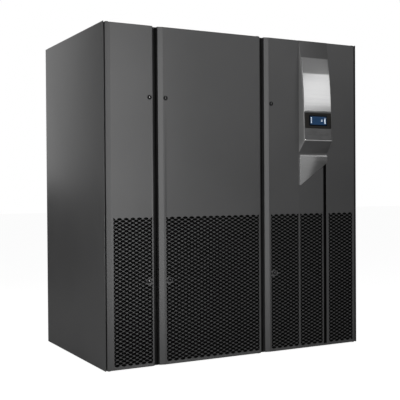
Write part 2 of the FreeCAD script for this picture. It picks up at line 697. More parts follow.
def door_section(wide):
    """Plan of the folded sheet: the outside, then the inside one sheet behind it."""
    slope = "sqrt(bevel_wide ^ 2 + bevel_deep ^ 2)"
    corner = "sheet * (sqrt(2) - 1)"
    return door_outline(wide) + [
        (f"{wide} - sheet", "door_thick"),
        (f"{wide} - sheet", f"edge_chamfer + {corner}"),
        (f"{wide} - edge_chamfer - {corner}", "sheet"),
        (f"bevel_wide + sheet * ({slope} - bevel_wide) / bevel_deep", "sheet"),
        ("sheet", f"bevel_deep + sheet * ({slope} - bevel_deep) / bevel_wide"),
        ("sheet", "door_thick"),
    ]


def door(label, x, wide, pivot, cutouts, latches):
    """A folded door pan with closed ends, pivot bushes, and cut-outs in its face."""
    body = new_body(label)
    place(body, x, FRONT, "door_floor")
    section = sketch(body, label + "_section", "XY_Plane", [door_section(wide)])
    pad(body, label + "_skin", section, DOOR_TALL)
    pivot_y = "door_thick - pivot_back"
    for end, lift, boss in (("foot", "0", "0"), ("head", f"{DOOR_TALL} - sheet", f"{DOOR_TALL} - bush_tall")):
        plan = sketch(body, f"{label}_{end}_plan", "XY_Plane", [door_outline(wide)], lift=lift)
        pad(body, f"{label}_{end}", plan, "sheet")
        disc = [(pivot, pivot_y, "bush_radius")]
        ring = sketch(body, f"{label}_{end}_ring", "XY_Plane", [], disc, lift=boss)
        pad(body, f"{label}_{end}_bush", ring, "bush_tall")
    bore = sketch(body, label + "_bore", "XY_Plane", [], [(pivot, pivot_y, "pin_radius + pin_play")])
    pocket(body, label + "_bored", bore, outward=True)
    holes = [(across, f"{up} - door_floor", "latch_shaft + latch_play") for across, up in latches]
    face = sketch(body, label + "_face", "XZ_Plane", cutouts, holes)
    pocket(body, label + "_open", face, "2 * sheet")
    return node(label, body)


def field(start, end):
    """The cut-out of one perforated field in a door's own plane."""
    return rectangle(start, "grille_low - door_floor", end, "grille_high - door_floor")


def hexagon(x, z, radius):
    """A flat-topped hexagon in the front plane."""
    turns = [math.tau * i / 6 for i in range(7)]
    return Part.makePolygon([Vector(x + radius * math.cos(a), 0, z + radius * math.sin(a)) for a in turns])


def perforated_sheet(x0, x1, latch=None):
    """A perforated sheet in a door's cut-out, with a plain disc around a latch."""
    low, high = SIZE.grille_low, SIZE.grille_high
    corners = [Vector(x0, 0, low), Vector(x1, 0, low), Vector(x1, 0, high), Vector(x0, 0, high)]
    wires = [Part.makePolygon(corners + corners[:1])]
    radius = SIZE.hole_across / 2
    room_x = x1 - x0 - 2 * (SIZE.hole_border + radius)
    room_z = high - low - 2 * (SIZE.hole_border + radius * math.sin(math.tau / 6))
    columns = int(room_x / SIZE.hole_column) + 1
    rows = int((room_z - SIZE.hole_row / 2) / SIZE.hole_row) + 1
    start_x = (x0 + x1 - (columns - 1) * SIZE.hole_column) / 2
    start_z = (low + high - (rows - 0.5) * SIZE.hole_row) / 2
    for column in range(columns):
        for row in range(rows):
            x = start_x + column * SIZE.hole_column
            z = start_z + (row + column % 2 / 2) * SIZE.hole_row
            if latch is None or math.dist((x, z), latch) > radius + SIZE.latch_boss:
                wires.append(hexagon(x, z, radius))
    if latch is not None:
        centre = Vector(latch[0], 0, latch[1])
        wires.append(Part.Wire(Part.makeCircle(SIZE.latch_shaft + SIZE.latch_play, centre, Vector(0, 1, 0))))
    face = Part.makeFace(wires, "Part::FaceMakerBullseye")
    return face.extrude(Vector(0, SIZE.sheet, 0))


def grille(label, fields):
    """The perforated fields of one door."""
    item = shaped(label, fields[0] if len(fields) == 1 else Part.makeCompound(fields))
    item.Placement = Placement(Vector(0, -SIZE.depth / 2, 0), Rotation())
    return node(label, item)


def doors():
    """Three doors with their perforated fields."""
    door(
        "left_door", LEFT_DOOR, "left_door_wide", "pivot_in",
        [field("grille_left", "left_door_wide - grille_right")],
        [("left_door_wide - narrow_latch_high", "latch_high")],
    )
    door(
        "middle_door", MIDDLE_DOOR, "middle_door_wide", "middle_door_wide - pivot_in",
        [field("grille_left", "middle_door_wide - grille_right")],
        [("wide_latch_high", "latch_high")],
    )
    groove_end = "groove_from + groove_wide"
    groove = rectangle("groove_from", "grille_low - door_floor", groove_end, "groove_top - door_floor")
    door(
        "right_door", RIGHT_DOOR, RIGHT_DOOR_WIDE, f"{RIGHT_DOOR_WIDE} - pivot_in",
        [
            field("grille_left", "divider_from"),
            field("divider_from + divider_wide", "groove_from - groove_left_bar"),
            groove,
            field(f"{groove_end} + groove_right_bar", f"{RIGHT_DOOR_WIDE} - last_grille_right"),
        ],
        [("wide_latch_high", "latch_high")],
    )

    left = -SIZE.width / 2 + SIZE.corner_gap
    middle = left + SIZE.left_door_wide + SIZE.seam_gap
    right = middle + SIZE.middle_door_wide + SIZE.seam_gap
    left_end = left + SIZE.left_door_wide
    middle_end = middle + SIZE.middle_door_wide
    right_end = SIZE.width / 2 - SIZE.corner_gap
    left_latch = (left_end - SIZE.narrow_latch_low, SIZE.latch_low)
    middle_latch = (middle + SIZE.wide_latch_low, SIZE.latch_low)
    right_latch = (right + SIZE.wide_latch_low, SIZE.latch_low)
    after_divider = right + SIZE.divider_from + SIZE.divider_wide
    groove_start = right + SIZE.groove_from
    after_groove = groove_start + SIZE.groove_wide + SIZE.groove_right_bar
    left_field = perforated_sheet(left + SIZE.grille_left, left_end - SIZE.grille_right, left_latch)
    grille("left_door_grille", [left_field])
    middle_field = perforated_sheet(middle + SIZE.grille_left, middle_end - SIZE.grille_right, middle_latch)
    grille("middle_door_grille", [middle_field])
    grille("right_door_grilles", [
        perforated_sheet(right + SIZE.grille_left, right + SIZE.divider_from, right_latch),
        perforated_sheet(after_divider, groove_start - SIZE.groove_left_bar),
        perforated_sheet(after_groove, right_end - SIZE.last_grille_right),
    ])

    body = new_body("groove_channel")
    place(body, f"{RIGHT_DOOR} + groove_from", FRONT, "grille_low")
    channel = [
        ("0", "0"), ("sheet", "0"), ("sheet", "groove_deep - sheet"),
        ("groove_wide - sheet", "groove_deep - sheet"), ("groove_wide - sheet", "0"),
        ("groove_wide", "0"), ("groove_wide", "groove_deep"), ("0", "groove_deep"),
    ]
    pad(body, "groove_run", sketch(body, "groove_plan", "XY_Plane", [channel]), "groove_top - grille_low")
    node("groove_channel", body)


def latches():
    """Quarter-turn latches: a round head, a shaft, and a cam that hangs down when open."""
    left_free = f"({LEFT_DOOR} + left_door_wide)"
    rows = (
        ("left_upper_latch", f"{left_free} - narrow_latch_high", "latch_high", "narrow_latch_high"),
        ("left_lower_latch", f"{left_free} - narrow_latch_low", "latch_low", "narrow_latch_low"),
        ("middle_upper_latch", f"{MIDDLE_DOOR} + wide_latch_high", "latch_high", "wide_latch_high"),
        ("middle_lower_latch", f"{MIDDLE_DOOR} + wide_latch_low", "latch_low", "wide_latch_low"),
        ("right_upper_latch", f"{RIGHT_DOOR} + wide_latch_high", "latch_high", "wide_latch_high"),
        ("right_lower_latch", f"{RIGHT_DOOR} + wide_latch_low", "latch_low", "wide_latch_low"),
    )
    for label, x, z, reach in rows:
        body = new_body(label)
        place(body, x, FRONT, z)
        cam_front = "(door_thick + door_air + tube_wall + cam_gap)"
        disc = [("0", "0", "latch_head")]
        head = sketch(body, label + "_head_plan", "XZ_Plane", [], disc, lift="latch_play")
        pad(body, label + "_head", head, "latch_proud - latch_play")
        back = f"{cam_front} + cam_thick"
        bar = [("0", "0", "latch_shaft")]
        shaft = sketch(body, label + "_shaft_plan", "XZ_Plane", [], bar, lift=f"-({back})")
        pad(body, label + "_shaft", shaft, f"{back} + latch_play")
        tip = f"-({reach} - cam_short)"
        plate = rectangle("-cam_half", tip, "cam_half", "cam_half")
        cam = sketch(body, label + "_cam_plan", "XZ_Plane", [plate], lift=f"-({back})")
        pad(body, label + "_cam", cam, "cam_thick")
        ring = [("0", "0", "latch_recess"), ("0", "0", "latch_pin")]
        sunk = sketch(body, label + "_sunk_plan", "XZ_Plane", [], ring, lift="latch_proud")
        pocket(body, label + "_sunk", sunk, "latch_sunk")
        node(label, body)


def pivots_and_seals():
    """Pivot brackets above and below the doors, and the seal strips on the frame."""
    brackets = []
    seals = []
    pivot_y = f"({FRONT} + door_thick - pivot_back)"
    left_free = f"({LEFT_DOOR} + left_door_wide)"
    middle_free = MIDDLE_DOOR
    middle_hinge = f"({MIDDLE_DOOR} + middle_door_wide)"
    right_hinge = f"({RIGHT} - corner_gap)"
    pivot_xs = (f"{LEFT_DOOR} + pivot_in", f"{middle_hinge} - pivot_in", f"{right_hinge} - pivot_in")
    plate_low = "(door_floor - bracket_gap - bracket_thick)"
    plate_high = f"({DOOR_TOP} + bracket_gap)"
    pin_low = f"{plate_low} + bracket_thick / 2"
    pin_high = f"{DOOR_TOP} - bush_tall"
    pin_tall = "bush_tall + bracket_gap + bracket_thick / 2"
    for i, x in enumerate(pivot_xs, 1):
        for end, plate_z, pin_z in (("foot", plate_low, pin_low), ("head", plate_high, pin_high)):
            start = f"{x} - bracket_half"
            y = f"({pivot_y} - bracket_half)"
            deep = f"({STACK} - {y})"
            name = f"bracket_plate_{end}_{i}"
            plate = box(name, start, y, plate_z, "2 * bracket_half", deep, "bracket_thick")
            pin = rod(f"bracket_pin_{end}_{i}", x, pivot_y, pin_z, "pin_radius", pin_tall)
            brackets.append(fuse(f"bracket_{end}_{i}", [plate, pin]))
    group("pivot_brackets", brackets)

    seal_y = f"({FRONT} + door_thick + seal_play)"
    seal_thick = "(door_air - seal_play)"
    seal_low = "(door_floor + bracket_gap)"
    seal_high = f"({DOOR_TOP} - bracket_gap - seal_wide)"
    runs = (
        (f"{LEFT_DOOR} + seal_start", f"{left_free} - seal_wide", f"{left_free} - seal_wide"),
        (f"{middle_free} + seal_wide", f"{middle_hinge} - seal_start", middle_free),
        (f"{RIGHT_DOOR} + seal_wide", f"{right_hinge} - seal_start", RIGHT_DOOR),
    )
    for i, (start, end, upright) in enumerate(runs, 1):
        long = f"({end} - ({start}))"
        for part, z in (("low", seal_low), ("high", seal_high)):
            seals.append(box(f"seal_{part}_{i}", start, seal_y, z, long, seal_thick, "seal_wide"))
        tall = f"{seal_high} + seal_wide - {seal_low}"
        seals.append(box(f"seal_upright_{i}", upright, seal_y, seal_low, "seal_wide", seal_thick, tall))
    group("door_seals", seals)


# Display nose on the right door

def nose_form(name, start, wide, forward="0"):
    """The solid form of the nose, seen from the side, with its front rounded."""
    body = new_body(name)
    place(body, start, f"{FRONT} - ({forward})")
    top = DOOR_TOP
    outline = [
        ("0", "nose_foot"), ("-nose_out", "nose_lip"), ("-nose_crease_out", "nose_crease"),
        ("-nose_top_out", top), ("0", top),
    ]
    form = pad(body, name + "_run", sketch(body, name + "_side", "YZ_Plane", [outline]), wide)
    DOC.recompute()
    crease = Vector(0, -SIZE.nose_crease_out, SIZE.height - SIZE.nose_crease_drop)
    edges = form.Shape.Edges
    nearest = min(
        range(len(edges)),
        key=lambda i: math.hypot(edges[i].CenterOfMass.y - crease.y, edges[i].CenterOfMass.z - crease.z),
    )
    rounding = body.newObject("PartDesign::Fillet", name + "_rounding")
    rounding.Base = (form, [f"Edge{nearest + 1}"])
    bind(rounding, {"Radius": "nose_radius"})
    return body


def key_places():
    """Left edge of each key, the four of them centred on the nose."""
    middle = "(nose_wide / 2)"
    return [f"({middle} + ({step}) * key_pitch - key_wide / 2)" for step in (-1.5, -0.5, 0.5, 1.5)]


def tilted(item, x, z):
    """Lay a plate on the lower front face of the nose, its origin at a height on that face."""
    item.Placement = Placement(Vector(), Rotation(Vector(-1, 0, 0), 1))
    bind(item, {"Placement.Rotation.Angle": NOSE_TILT})
    return place(item, x, f"{FRONT} - nose_out + ({z} - nose_lip) * tan({NOSE_TILT})", z)


def nose():
    """Shell, steel plate, display, keys and lip of the nose, and the slanted plate below."""
    shell = nose_form("nose_shell", NOSE_LEFT, "nose_wide")
    inside = [
        ("0", "nose_foot + 2 * nose_wall"), ("nose_wall - nose_out", "nose_lip + nose_wall"),
        ("nose_inner_out - nose_crease_out", "nose_crease"), ("0", f"{DOOR_TOP} - nose_head"),
    ]
    hollow = sketch(shell, "nose_inside", "YZ_Plane", [inside], lift="nose_wall")
    pocket(shell, "nose_hollow", hollow, "nose_wide - 2 * nose_wall", outward=True)
    low = "key_height - key_tall / 2"
    high = "key_height + key_tall / 2"
    windows = [
        rectangle(f"{x} - key_play", f"{low} - key_play", f"{x} + key_wide + key_play", f"{high} + key_play")
        for x in key_places()
    ]
    pocket(shell, "nose_key_holes", sketch(shell, "nose_key_plan", "XZ_Plane", windows), outward=True)
    node("nose_shell", shell)

    start = f"({NOSE_LEFT} + plate_margin)"
    wide = "nose_wide - 2 * plate_margin"
    proud = nose_form("plate_front", start, wide, "plate_thick")
    behind = nose_form("plate_behind", start, wide)
    tall = "plate_high - plate_low"
    band = box("plate_band", start, f"{FRONT} - 2 * nose_out", "plate_low", wide, "2 * nose_out", tall)
    common = DOC.addObject("Part::Common", "plate_blank")
    common.Base = proud
    common.Tool = band
    node("nose_plate", cut("nose_plate", common, [behind]))

    body = new_body("display_frame")
    rim_x = "(frame_wide - screen_wide) / 2"
    rim_z = "(frame_tall - screen_tall) / 2"
    outlines = [
        rectangle("0", "0", "frame_wide", "frame_tall"),
        rectangle(rim_x, rim_z, f"{rim_x} + screen_wide", f"{rim_z} + screen_tall"),
    ]
    pad(body, "frame_plate", sketch(body, "frame_face", "XZ_Plane", outlines), "frame_thick")
    frame_left = f"{NOSE_LEFT} + (nose_wide - frame_wide) / 2"
    node("display_frame", tilted(body, frame_left, "frame_low"))

    body = new_body("screen")
    opening = rectangle(rim_x, rim_z, f"{rim_x} + screen_wide", f"{rim_z} + screen_tall")
    pad(body, "screen_glass", sketch(body, "screen_face", "XZ_Plane", [opening]), "screen_thick")
    node("screen", tilted(body, frame_left, "frame_low"))

    for i, x in enumerate(key_places(), 1):
        key_y = f"{FRONT} - nose_out + (key_height - nose_lip) * tan({NOSE_TILT}) - key_proud"
        key = box(f"key_{i}", f"{NOSE_LEFT} + {x}", key_y, low, "key_wide", "key_deep", "key_tall")
        node(f"key_{i}", key)

    body = new_body("nose_lip_strip")
    strip = rectangle("0", "0", "nose_wide", "lip_tall")
    pad(body, "lip_plate", sketch(body, "lip_face", "XZ_Plane", [strip]), "lip_thick")
    node("nose_lip", tilted(body, NOSE_LEFT, "nose_lip"))

    body = new_body("slanted_plate")
    place(body, NOSE_LEFT, FRONT)
    end = "nose_wide - pull_margin"
    corners = [
        ("pull_margin", "pull_left_low"), (end, "pull_right_low"),
        (end, "pull_top"), ("pull_margin", "pull_top"),
    ]
    pad(body, "slanted_run", sketch(body, "slanted_face", "XZ_Plane", [corners]), "pull_thick")
    waste = [
        ("-pull_thick", "pull_top - strip_tall"), ("strip_fall - pull_thick", "pull_top"), ("-pull_thick", "pull_top"),
    ]
    pocket(body, "slanted_strip", sketch(body, "strip_section", "YZ_Plane", [waste]), outward=True)
    node("slanted_plate", body)


# Fans

def impeller(label, middle):
    """Backward-curved impeller: shroud with its eye at the bottom, blades, back plate, hub and shaft."""
    body = new_body(label)
    place(body, middle, FAN_Y, DECK_TOP)
    hub_top = "(fan_tall + fan_sheet + hub_tall)"
    back = [
        ("0", "fan_tall"), ("fan_radius", "fan_tall"), ("fan_radius", "fan_tall + fan_sheet"),
        ("hub_radius", "fan_tall + fan_sheet"), ("hub_radius", hub_top), ("shaft_radius", hub_top),
        ("shaft_radius", f"{hub_top} + shaft_tall"), ("0", f"{hub_top} + shaft_tall"),
    ]
    turned(body, label + "_back", sketch(body, label + "_back_plan", "XZ_Plane", [back]))
    DOC.recompute()

    blade = body.newObject("Sketcher::SketchObject", label + "_blade_plan")
    blade.AttachmentSupport = (next(f for f in body.Origin.OriginFeatures if f.Role == "XY_Plane"), [""])
    blade.MapMode = "FlatFace"
    bind(blade, {"AttachmentOffset.Base.z": "fan_lip"})
    root = SIZE.fan_eye + SIZE.blade_thick
    tip = SIZE.fan_radius - SIZE.blade_thick
    lean = math.radians(SIZE.blade_lean)
    inner = Vector(root, 0, 0)
    outer = Vector(tip * math.cos(lean), tip * math.sin(lean), 0)
    chord = outer - inner
    side = Vector(chord.y, -chord.x, 0).normalize()
    bend = SIZE.blade_bend
    drop = math.sqrt(bend ** 2 - (chord.Length / 2) ** 2)
    centre = (inner + outer) / 2 + side * drop
    start = math.atan2(outer.y - centre.y, outer.x - centre.x)
    end = math.atan2(inner.y - centre.y, inner.x - centre.x)
    arcs = []
    for radius in (bend - SIZE.blade_thick, bend):
        circle = Part.Circle(centre, Vector(0, 0, 1), radius)
        arcs.append(Part.ArcOfCircle(circle, start, end))
    first, second = (blade.addGeometry(arc) for arc in arcs)
    blade.addGeometry(Part.LineSegment(arcs[0].EndPoint, arcs[1].EndPoint))
    blade.addGeometry(Part.LineSegment(arcs[1].StartPoint, arcs[0].StartPoint))
    for link in ((first, 2, 2, 1), (2, 2, second, 2), (second, 1, 3, 1), (3, 2, first, 1)):
        blade.addConstraint(Sketcher.Constraint("Coincident", *link))
    blade_pad = pad(body, label + "_blade", blade, "fan_tall - fan_lip")
    DOC.recompute()
    ring = body.newObject("PartDesign::PolarPattern", label + "_blades")
    ring.Originals = [blade_pad]
    ring.Axis = (next(f for f in body.Origin.OriginFeatures if f.Role == "Z_Axis"), [""])
    ring.Angle = 360
    bind(ring, {"Occurrences": "blade_count"})
    body.Tip = ring
    DOC.recompute()

    rim = "(fan_shroud + fan_shroud_rise)"
    trim = [
        ("fan_eye - fan_sheet", "fan_lip - fan_sheet"), ("fan_radius + fan_sheet", "fan_lip - fan_sheet"),
        ("fan_radius + fan_sheet", rim), ("fan_eye - fan_sheet", "fan_shroud"),
    ]
    turned(body, label + "_trim", sketch(body, label + "_trim_plan", "XZ_Plane", [trim]), "Groove")
    shroud = [
        ("fan_eye", "fan_lip"), ("fan_eye + fan_sheet", "fan_lip"),
        ("fan_eye + fan_sheet", "fan_shroud - fan_sheet / 2"), ("fan_radius", f"{rim} - fan_sheet / 2"),
        ("fan_radius", f"{rim} + fan_sheet"), ("fan_eye", "fan_shroud + fan_sheet"),
    ]
    turned(body, label + "_shroud", sketch(body, label + "_shroud_plan", "XZ_Plane", [shroud]))
    return node(label, body)


def fans():
    """Fan deck with inlet cones, the two impellers, and the motors on their brackets."""
    body = new_body("fan_deck")
    start = f"({LEFT_SEAM} + sheet / 2)"
    long = f"({RIGHT} - fold - {start})"
    deep = f"({INNER_BACK} - {INNER_FRONT})"
    place(body, start, INNER_FRONT, "deck_height")
    mouths = [(f"{middle} - {start}", f"{FAN_Y} - {INNER_FRONT}", "cone_mouth") for middle in FAN_MIDDLES]
    plan = sketch(body, "deck_plan", "XY_Plane", [rectangle("0", "0", long, deep)], mouths)
    pad(body, "deck_sheet_pad", plan, "deck_sheet")
    node("fan_deck", body)

    cones = []
    motors = []
    brackets = []
    motor_low = f"({DECK_TOP} + fan_tall + fan_sheet + hub_tall + motor_gap)"
    motor_high = f"({motor_low} + motor_tall)"
    for i, middle in enumerate(FAN_MIDDLES, 1):
        cone = turned_piece(f"inlet_cone_{i}", [
            ("cone_mouth", "0"), ("cone_flange", "0"), ("cone_flange", "fan_sheet"),
            ("cone_mouth + fan_sheet", "fan_sheet"), ("cone_throat + fan_sheet", "cone_tall"),
            ("cone_throat", "cone_tall"),
        ])
        cones.append(place(cone, middle, FAN_Y, DECK_TOP))

        bore_top = "(shaft_tall - motor_gap + fan_sheet)"
        motor = turned_piece(f"fan_motor_{i}", [
            ("shaft_radius + pin_play", "0"), ("motor_radius - 2 * fan_sheet", "0"),
            ("motor_radius", "2 * fan_sheet"), ("motor_radius", "motor_tall"),
            ("0", "motor_tall"), ("0", bore_top), ("shaft_radius + pin_play", bore_top),
        ])
        motors.append(place(motor, middle, FAN_Y, motor_low))

        bars = [
            box(f"bar_x_{i}", f"{middle} - leg_reach - leg / 2", f"{FAN_Y} - leg / 2", motor_high,
                "2 * leg_reach + leg", "leg", "bar_thick"),
            box(f"bar_y_{i}", f"{middle} - leg / 2", f"{FAN_Y} - leg_reach - leg / 2", motor_high,
                "leg", "2 * leg_reach + leg", "bar_thick"),
        ]
        for side, (dx, dy) in enumerate((("-1", "0"), ("1", "0"), ("0", "-1"), ("0", "1")), 1):
            x = f"{middle} + {dx} * leg_reach - leg / 2"
            y = f"{FAN_Y} + {dy} * leg_reach - leg / 2"
            bars.append(box(f"leg_{i}_{side}", x, y, DECK_TOP, "leg", "leg", f"{motor_high} - {DECK_TOP}"))
        brackets.append(fuse(f"motor_bracket_{i}", bars))
    group("inlet_cones", cones)
    group("fan_motors", motors)
    group("motor_brackets", brackets)
    impeller("left_impeller", FAN_MIDDLES[0])
    impeller("right_impeller", FAN_MIDDLES[1])


def discharge_collars():
    """Collars under the duct openings, and a bar guard across the lower end of each."""
    pieces = []
    low = f"({FRAME_TOP} - collar_tall)"
    side = "(duct + 2 * sheet)"
    y = f"{FAN_Y} - duct / 2"
    for i, middle in enumerate(FAN_MIDDLES, 1):
        corner_x = f"{middle} - {side} / 2"
        corner_y = f"{FAN_Y} - {side} / 2"
        x = f"{middle} - duct / 2"
        wall = box(f"collar_wall_{i}", corner_x, corner_y, low, side, side, "collar_tall")
        inside = box(f"collar_inside_{i}", x, y, low, "duct", "duct", "collar_tall")
        pieces.append(cut(f"collar_{i}", wall, [inside]))
        bars = []
        for bar in range(int(SIZE.guard_count)):
            offset = f"(({bar} + 1) * duct / (guard_count + 1) - guard_bar / 2)"
            name = f"{i}_{bar}"
            bars.append(box("guard_x_" + name, x, f"{y} + {offset}", low, "duct", "guard_bar", "guard_bar"))
            bars.append(box("guard_y_" + name, f"{x} + {offset}", y, low, "guard_bar", "duct", "guard_bar"))
        pieces.append(fuse(f"guard_{i}", bars))
    group("discharge_collars", pieces)


# Filters and coil

def bay_partition():
    """Sheet between the narrow left bay and the air path, with holes for the pipes."""
    x = f"({LEFT_SEAM} - sheet / 2)"
    body = new_body("bay_partition")
    place(body, x, INNER_FRONT, "base_sheet")
    deep = f"({INNER_BACK} - {INNER_FRONT})"
    outline = rectangle("0", "0", deep, f"{POST_TOP} - base_sheet")
    holes = []
    for side, radius in (("1", "suction_radius"), ("-1", "liquid_radius")):
        y, z = header_end(side)
        holes.append((f"{y} - {INNER_FRONT}", f"{z} - base_sheet", f"{radius} + pipe_play"))
    steam_y = f"{FRONT} + steam_front - {INNER_FRONT}"
    holes.append((steam_y, "steam_high - base_sheet", "steam_pipe + pipe_play"))
    pad(body, "partition_sheet", sketch(body, "partition_face", "YZ_Plane", [outline], holes), "sheet")
    node("bay_partition", body)


def filters():
    """Filter rack, and pleated filters side by side behind the perforated doors."""
    start = f"({LEFT_SEAM} + sheet / 2)"
    long = f"({COIL_RIGHT} - {COIL_LEFT})"
    rack_y = f"({INNER_FRONT} + filter_gap - rack_play)"
    rack_deep = "(filter_thick + 2 * rack_play)"
    sill = box("rack_sill_block", COIL_LEFT, rack_y, "base_sheet", long, rack_deep, "base_tall")
    under = box(
        "rack_sill_inside", COIL_LEFT, f"{rack_y} + sheet", "base_sheet", long,
        f"{rack_deep} - 2 * sheet", "base_tall - sheet",
    )
    shelf_z = "(filter_top + rack_gap)"
    wide = f"({RIGHT} - fold - {start})"
    lip_y = f"({rack_y} + {rack_deep})"
    shelf_deep = f"{lip_y} + sheet - {INNER_FRONT}"
    head = fuse("rack_head", [
        box("rack_blank", start, INNER_FRONT, shelf_z, wide, "sheet", f"deck_height - {shelf_z}"),
        box("rack_shelf", start, INNER_FRONT, shelf_z, wide, shelf_deep, "sheet"),
        box("rack_lip_fold", start, lip_y, f"{shelf_z} - rack_lip", wide, "sheet", "rack_lip"),
    ])
    group("filter_rack", [cut("rack_sill", sill, [under]), head])

    packs = []
    seam_left = -SIZE.width / 2 + SIZE.corner_gap + SIZE.left_door_wide + SIZE.seam_gap / 2
    first = seam_left + SIZE.coil_left
    last = SIZE.width / 2 - SIZE.coil_right
    wide = (last - first) / SIZE.filter_count
    low = SIZE.base_sheet + SIZE.base_tall
    tall = SIZE.filter_top - low
    front = -SIZE.depth / 2 + SIZE.door_thick + SIZE.door_air + SIZE.post + SIZE.filter_gap
    for i in range(int(SIZE.filter_count)):
        corner = Vector(first + i * wide, front, low)
        case = Part.makeBox(wide, SIZE.filter_thick, tall, corner)
        rim = SIZE.filter_rim
        room = wide - 2 * rim
        pleats = int(room / SIZE.pleat)
        step = room / pleats
        crest = corner.y + SIZE.filter_rim / 2
        valley = corner.y + SIZE.filter_thick / 2
        zigzag = [Vector(corner.x + rim, corner.y, low + rim), Vector(corner.x + rim, crest, low + rim)]
        for j in range(pleats):
            zigzag.append(Vector(corner.x + rim + (j + 0.5) * step, valley, low + rim))
            zigzag.append(Vector(corner.x + rim + (j + 1) * step, crest, low + rim))
        zigzag.append(Vector(corner.x + wide - rim, corner.y, low + rim))
        hollow = Part.Face(Part.makePolygon(zigzag + zigzag[:1])).extrude(Vector(0, 0, tall - 2 * rim))
        packs.append(shaped(f"filter_{i + 1}", case.cut(hollow)))
    group("air_filters", packs)


def on_coil(along, through):
    """Place of a point of the coil, given up its slope and through its thickness."""
    y = f"({FRONT} + coil_front + ({along}) * sin(coil_tilt) + ({through}) * cos(coil_tilt))"
    z = f"(coil_low + ({along}) * cos(coil_tilt) - ({through}) * sin(coil_tilt))"
    return y, z


def header_end(side):
    """Upper end of a header, where its pipe leaves through the bay partition."""
    return on_coil("coil_long - header_end", f"coil_thick / 2 + {side} * header_apart")


def leaning(item, x, y, z):
    """Lean a piece with the coil, its origin at a point."""
    item.Placement = Placement(Vector(), Rotation(Vector(-1, 0, 0), 1))
    bind(item, {"Placement.Rotation.Angle": "coil_tilt"})
    return place(item, x, y, z)


